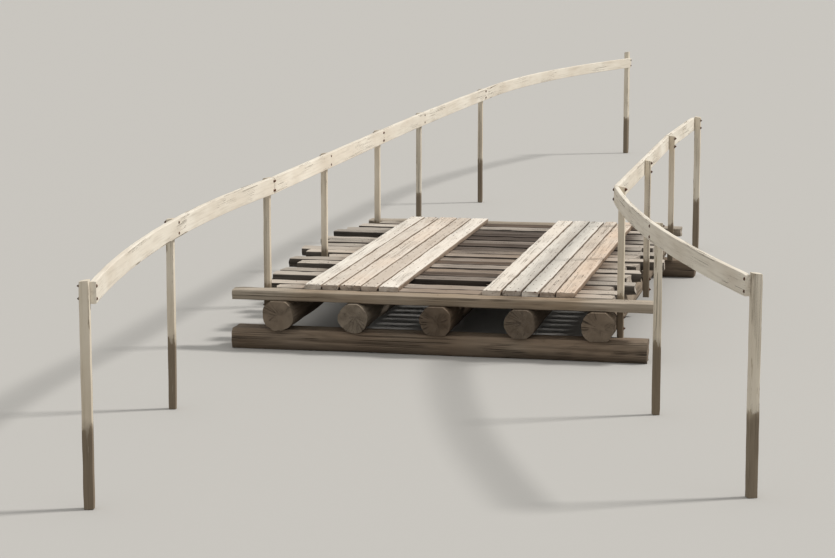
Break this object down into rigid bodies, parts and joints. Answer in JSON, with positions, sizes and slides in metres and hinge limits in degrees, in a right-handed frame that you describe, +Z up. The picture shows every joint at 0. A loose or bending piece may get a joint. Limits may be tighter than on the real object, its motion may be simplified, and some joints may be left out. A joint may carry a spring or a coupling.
{
  "type": "timber track bridge",
  "caption": "Low one-lane timber bridge on log stringers, with cross timbers, two plank wheel tracks and a white board rail on posts along each side.",
  "frame": {"origin": "middle of the near sill's underside, on the centre line of the deck", "axes": "+Z up, +Y along the track away from the picture's viewer, +X across the track to the right"},
  "size_m": [5.011, 22.9537, 1.62],
  "materials": {
    "hewn_log": "grey-brown weathered log with adzed flats",
    "end_sleeper": "silvery grey weathered sawn timber, checked",
    "cross_timber": "brown-grey weathered sawn timber, checked and worn",
    "running_plank": "bleached tan sawn timber, worn pale by wheels",
    "rail_post": "thin weathered off-white paint on sawn timber",
    "rail_board": "weathered off-white paint on sawn timber"
  },
  "bodies": {
    "root": {"near_sill": "hewn_log", "far_sill": "hewn_log", "stringer_outer_left": "hewn_log", "stringer_inner_left": "hewn_log", "stringer_centre": "hewn_log", "stringer_inner_right": "hewn_log", "stringer_outer_right": "hewn_log", "near_end_sleeper": "end_sleeper", "far_end_sleeper": "end_sleeper", "cross_timbers_near": "cross_timber", "cross_timbers_middle": "cross_timber", "cross_timbers_far": "cross_timber", "left_running_plank_1": "running_plank", "left_running_plank_2": "running_plank", "left_running_plank_3": "running_plank", "left_running_plank_4": "running_plank", "left_running_plank_5": "running_plank", "right_running_plank_1": "running_plank", "right_running_plank_2": "running_plank", "right_running_plank_3": "running_plank", "right_running_plank_4": "running_plank", "right_running_plank_5": "running_plank", "left_post_1": "rail_post", "left_post_2": "rail_post", "left_post_3": "rail_post", "left_post_4": "rail_post", "left_post_5": "rail_post", "left_post_6": "rail_post", "left_post_7": "rail_post", "left_post_8": "rail_post", "right_post_1": "rail_post", "right_post_2": "rail_post", "right_post_3": "rail_post", "right_post_4": "rail_post", "right_post_5": "rail_post", "right_post_6": "rail_post", "left_rail_near": "rail_board", "left_rail_bridge": "rail_board", "left_rail_far": "rail_board", "left_rail_tail": "rail_board", "right_rail_near": "rail_board", "right_rail_bridge": "rail_board", "right_rail_far": "rail_board"}
  },
  "joints": []
}
